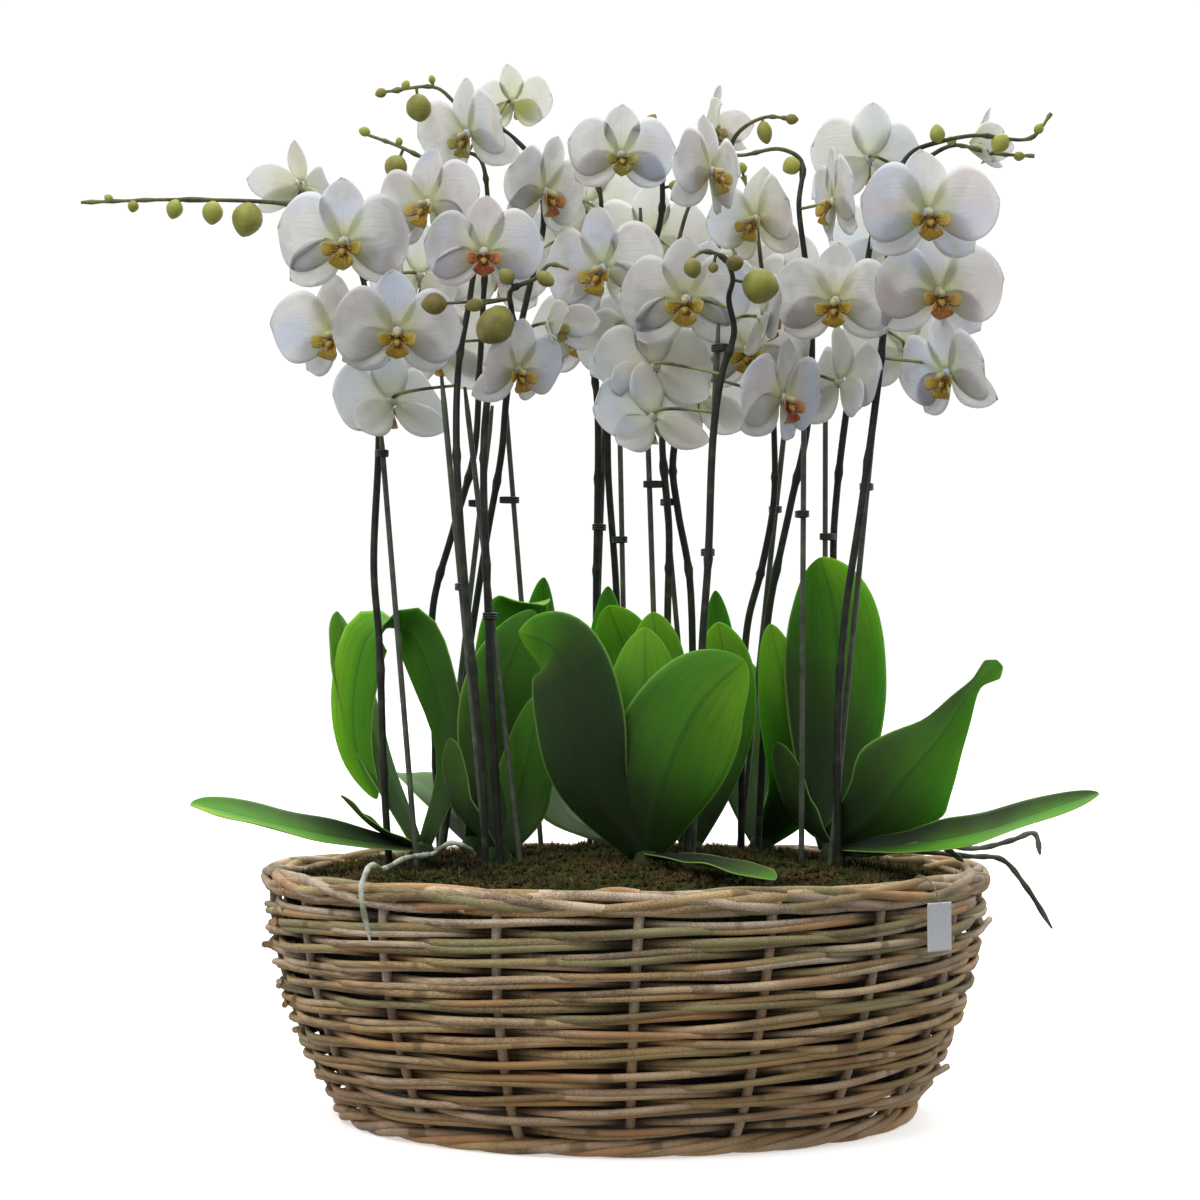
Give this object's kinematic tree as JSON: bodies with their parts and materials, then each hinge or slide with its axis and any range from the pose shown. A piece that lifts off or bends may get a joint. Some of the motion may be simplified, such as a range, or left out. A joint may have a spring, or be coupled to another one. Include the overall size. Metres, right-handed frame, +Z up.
{
  "type": "basket of moth orchids",
  "caption": "Round woven rattan basket planted with white moth orchids: staked sprays of open blooms and buds over broad leaves, air roots and moss.",
  "frame": {"origin": "centre of the basket's flat underside, where it rests", "axes": "+Z up along the basket's axis, -Y towards the front of the arrangement, +X to its right as seen from the front"},
  "size_m": [0.715, 0.5174, 0.7631],
  "materials": {
    "rattan": "weathered grey-brown split rattan, woven, matte",
    "tag": "blank pale tag, matte",
    "liner": "thin dark waterproof film",
    "bark": "coarse damp potting bark",
    "moss": "dark olive and brown moss, rough",
    "leaf": "thick green leaves with a waxy sheen",
    "petal": "white petals, satin, faintly green and pink towards the middle",
    "bloom_heart": "yellow and orange lip of a bloom, satin",
    "bud": "olive green buds, satin",
    "stalk": "dark green to brown flower stalks, satin",
    "root": "silvery green air roots, matte",
    "stick": "dark coated support sticks and clips"
  },
  "bodies": {
    "root": {"basket_base": "rattan", "basket_foot": "rattan", "basket_wall": "rattan", "basket_rim": "rattan", "basket_tag": "tag", "liner": "liner", "bark": "bark", "moss": "moss", "rosette_1": "leaf", "rosette_2": "leaf", "rosette_3": "leaf", "rosette_4": "leaf", "rosette_5": "leaf", "rosette_6": "leaf", "rosette_7": "leaf", "rosette_8": "leaf", "spray_01": "petal", "stick_01": "stick", "spray_02": "petal", "stick_02": "stick", "spray_03": "petal", "stick_03": "stick", "spray_04": "petal", "stick_04": "stick", "spray_05": "petal", "stick_05": "stick", "spray_06": "petal", "stick_06": "stick", "spray_07": "petal", "stick_07": "stick", "spray_08": "petal", "stick_08": "stick", "spray_09": "petal", "stick_09": "stick", "spray_10": "petal", "stick_10": "stick", "spray_11": "petal", "stick_11": "stick", "spray_12": "petal", "stick_12": "stick", "spray_13": "petal", "stick_13": "stick", "spray_14": "petal", "stick_14": "stick"}
  },
  "joints": []
}
